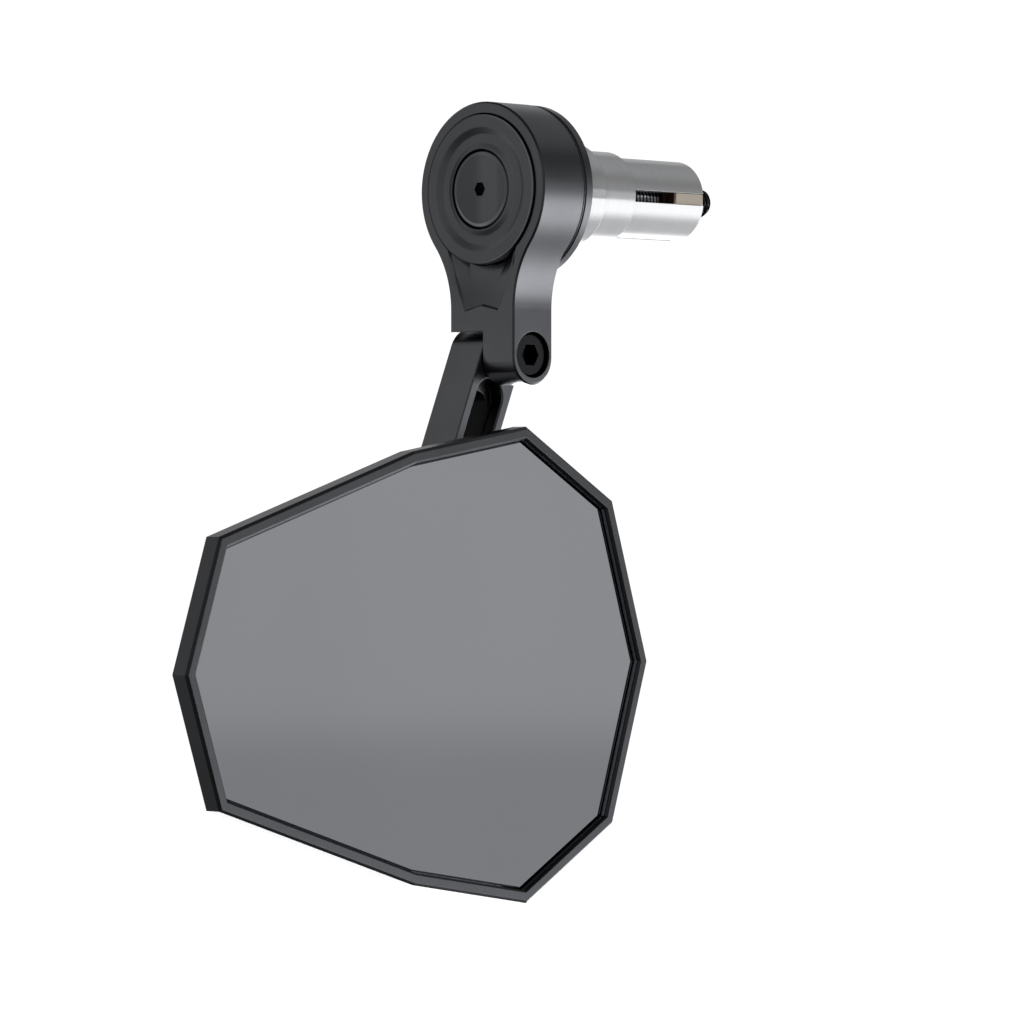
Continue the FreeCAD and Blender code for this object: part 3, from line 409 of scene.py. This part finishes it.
def turned_metal(name, colour, roughness, pitch, strength, diffuse=0.0, polished=None, shaded_within=None):
    """Metal turned about the plug's axis, with grooves a pitch apart in millimetres. What lies before
    the end of the bar may be polished, and what lies within a radius may be painted dark brown as shade."""
    material, tree = new_material(name)
    place = tree.place()
    along = tree.axes(place)["Y"]
    phase = tree.product(along, 2 * math.pi / (pitch * MM))
    wave = tree.add("ShaderNodeMath", {0: phase}, operation="SINE").outputs[0]
    stretched = tree.add("ShaderNodeMapping", {"Vector": place, "Scale": (60.0, 5000.0, 60.0)})
    streak = tree.noise(stretched.outputs[0], 1.0, 3.0)
    height = tree.total(tree.product(wave, 0.3), streak)
    lighter = tuple(min(1.0, part * 1.03) for part in colour) + (1.0,)
    darker = tuple(part * 0.97 for part in colour) + (1.0,)
    tone = tree.mix(tree.ramp(streak, 0.35, 0.65), darker, lighter)
    # Painted shade: dark brown within the radius
    if shaded_within is not None:
        near = tree.math("LESS_THAN", tree.from_axis(place), shaded_within * MM)
        tone = tree.mix(near, tone, (0.10, 0.055, 0.03, 1.0))
    rough = tree.ramp(streak, *NOISE_RANGE, roughness - 0.02, roughness + 0.03)
    if polished is not None:
        rough = tree.blend(tree.math("LESS_THAN", along, 0.0), rough, polished)
    finish_material(tree, {"Base Color": tone, "Roughness": rough, "Metallic": 1.0 - diffuse,
                           "Normal": relief(tree, height, strength, 0.01, 0.15)})
    return material


def plain_plastic(name, value, roughness):
    material, tree = new_material(name)
    fine = tree.noise(tree.place(), 1800.0, 2.0)
    bump = tree.add("ShaderNodeBump", {"Height": fine, "Strength": 0.2, "Distance": 0.03 * MM})
    colour = tree.mix(fine, grey(value * 0.85), grey(value * 1.15))
    finish_material(tree, {"Base Color": colour, "Roughness": roughness, "Normal": bump.outputs[0]})
    return material


def mirror_glass(name):
    """Tinted anti-glare mirror: a dim, clear reflection with hardly any haze."""
    material, tree = new_material(name)
    haze = tree.noise(tree.place(), 24.0, 2.0)
    colour = tree.mix(tree.ramp(haze, *NOISE_RANGE), (0.462, 0.474, 0.500, 1.0),
                      (0.472, 0.484, 0.510, 1.0))
    finish_material(tree, {"Base Color": colour, "Metallic": 1.0,
                           "Roughness": tree.ramp(haze, *NOISE_RANGE, 0.045, 0.06)})
    return material


def ring_mesh(name, rings, sides, closed=False):
    """Piece round the plug's axis, in millimetres. Each ring is a place along the axis and a function
    that gives the radius at an angle. The ends are filled, or joined to each other if it is closed."""
    mesh = bpy.data.meshes.new(name)
    work = bmesh.new()
    loops = []
    for along, radius in rings:
        loop = []
        for i in range(sides):
            angle = 2 * math.pi * i / sides
            r = radius(angle)
            loop.append(work.verts.new((r * math.cos(angle) * MM, along * MM, r * math.sin(angle) * MM)))
        loops.append(loop)
    pairs = zip(loops, loops[1:] + loops[:1]) if closed else zip(loops, loops[1:])
    for first, second in pairs:
        for i in range(sides):
            k = (i + 1) % sides
            work.faces.new((first[i], first[k], second[k], second[i]))
    if not closed:
        work.faces.new(loops[0][::-1])
        work.faces.new(loops[-1])
    bmesh.ops.recalc_face_normals(work, faces=work.faces)
    work.to_mesh(mesh)
    work.free()
    mesh.polygons.foreach_set("use_smooth", [True] * len(mesh.polygons))
    mesh.set_sharp_from_angle(angle=math.radians(SHARP_ANGLE))
    thing = bpy.data.objects.new(name, mesh)
    bpy.context.scene.collection.objects.link(thing)
    return thing


def steady(value):
    """The same radius at every angle."""
    return lambda angle: value


def hexagon(across):
    """Radius of a hexagon, given by its width across flats, at an angle."""
    return lambda angle: across / 2 / math.cos((angle % (math.pi / 3)) - math.pi / 6)


def thread(along):
    """Radius of the bolt's right-handed thread at an angle; it tapers off just before its end."""
    def radius(angle):
        turn = (along / THREAD_PITCH + angle / (2 * math.pi)) % 1.0
        flank = max(0.0, abs(2 * turn - 1.0) - CREST_SHARE) / FLANK_SHARE
        cut = THREAD_RADIUS - THREAD_DEPTH * min(1.0, flank)
        taper = THREAD_RADIUS - THREAD_DEPTH - END_DROP + END_SLOPE * (THREAD_END - along)
        return min(cut, taper)
    return radius


def make_friction_ring():
    """Ring between the eye and the flange, nearly flush with them."""
    low, high = (corner[1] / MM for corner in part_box("inner_friction_ring"))
    profile = [(low, RING_BORE), (low, RING_RADIUS), (high, RING_RADIUS), (high, RING_BORE)]
    rings = [(along, steady(radius)) for along, radius in profile]
    ring = ring_mesh("flush_friction_ring", rings, RING_SIDES, closed=True)
    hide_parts("inner_friction_ring")
    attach(ring, "plug")
    return ring


def make_bolt():
    """Expander bolt with its socket and its thread."""
    rings = [(SOCKET_FLOOR, steady(AXIS_RADIUS)), (SOCKET_FLOOR, hexagon(SOCKET_WIDTH)),
             (HEAD_EDGE, hexagon(SOCKET_WIDTH)), (HEAD_FACE, hexagon(SOCKET_MOUTH_WIDTH)),
             (HEAD_FACE, steady(HEAD_FACE_RADIUS)), (HEAD_EDGE, steady(HEAD_RADIUS)),
             (HEAD_SEAT, steady(HEAD_RADIUS)), (HEAD_SEAT, steady(THREAD_RADIUS)),
             (THREAD_START, steady(THREAD_RADIUS))]
    length = THREAD_END - THREAD_START
    count = int(length / THREAD_PITCH * RINGS_PER_TURN)
    for k in range(1, count + 1):
        along = THREAD_START + length * k / count
        rings.append((along, thread(along)))
    rings.append((THREAD_END, steady(TIP_RADIUS)))
    bolt = ring_mesh("threaded_bolt", rings, BOLT_SIDES)
    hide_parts("expander_bolt")
    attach(bolt, "expander_bolt")
    return bolt


def dress(names, material):
    for name in names:
        slots = NODES[name].data.materials
        slots.clear()
        slots.append(material)


make_camera()
make_world()
make_floor()
for lamp in LAMPS:
    make_lamp(*lamp)

arm_black = satin_black("arm_satin_black", ARM_TONE, ARM_ROUGHNESS)
dress(["hub_flange"], arm_black)
dress(["upper_arm"], satin_black("eye_satin_black", ARM_TONE, ARM_ROUGHNESS, shade=trough_painted_shade))
dress(["cover_disc"], satin_black("disc_satin_black", 0.195, 0.32, edge=0.5, shade=disc_painted_light))
dress(["centre_cap"], satin_black("cap_satin_black", 0.20, 0.34, turned=0.8, shade=cap_painted_sheen))
dress(["lower_arm"], satin_black("slotted_satin_black", ARM_TONE, ARM_ROUGHNESS, grain=0.06,
                                 shade=slot_painted_shade))
dress(["mirror_shell", "clamp_ring"], satin_black("housing_satin_black", 0.135, 0.28, shade=recess_painted_highlight))
# Threaded bolt: a brighter black with painted glints on its crests and painted shade in its valleys
make_bolt().data.materials.append(satin_black("black_thread_painted_glints", 0.5, 0.2, edge=0.04, shade=bolt_painted_glints))
dress(["expander_bolt", "bolt_washer", "hinge_screw", "hinge_spring_washer", "hinge_barrel_nut",
       "clamp_screw", "clamp_washer"], satin_black("black_oxide_steel", 0.05, 0.32, edge=0.1))
dress(["expander_sleeve"], turned_metal("turned_aluminium", (0.86, 0.865, 0.875), 0.17, 0.22, 0.1,
                                        diffuse=0.5, polished=0.1))
# Painted shade, dark brown, on the cone nut within 6.9 mm of the axis
dress(["cone_nut"], turned_metal("turned_brass", (0.98, 0.87, 0.72), 0.30, 0.3, 0.15, diffuse=0.4,
                                 shaded_within=6.9))
dress(["ball_slider"], turned_metal("ground_steel", (0.5, 0.5, 0.51), 0.2, 0.2, 0.1))
# The friction ring wears the arms' satin black instead of plastic: painted light that keeps the gap by
# the flange from going dark
make_friction_ring().data.materials.append(arm_black)
dress(["outer_friction_ring", "hinge_friction_washer", "ball_liner"],
      plain_plastic("slip_plastic", 0.03, 0.5))
dress(["glass_pad"], plain_plastic("foam_tape", 0.02, 0.8))
dress(["mirror_glass"], mirror_glass("tinted_mirror"))

bpy.context.scene.view_settings.view_transform = "Standard"
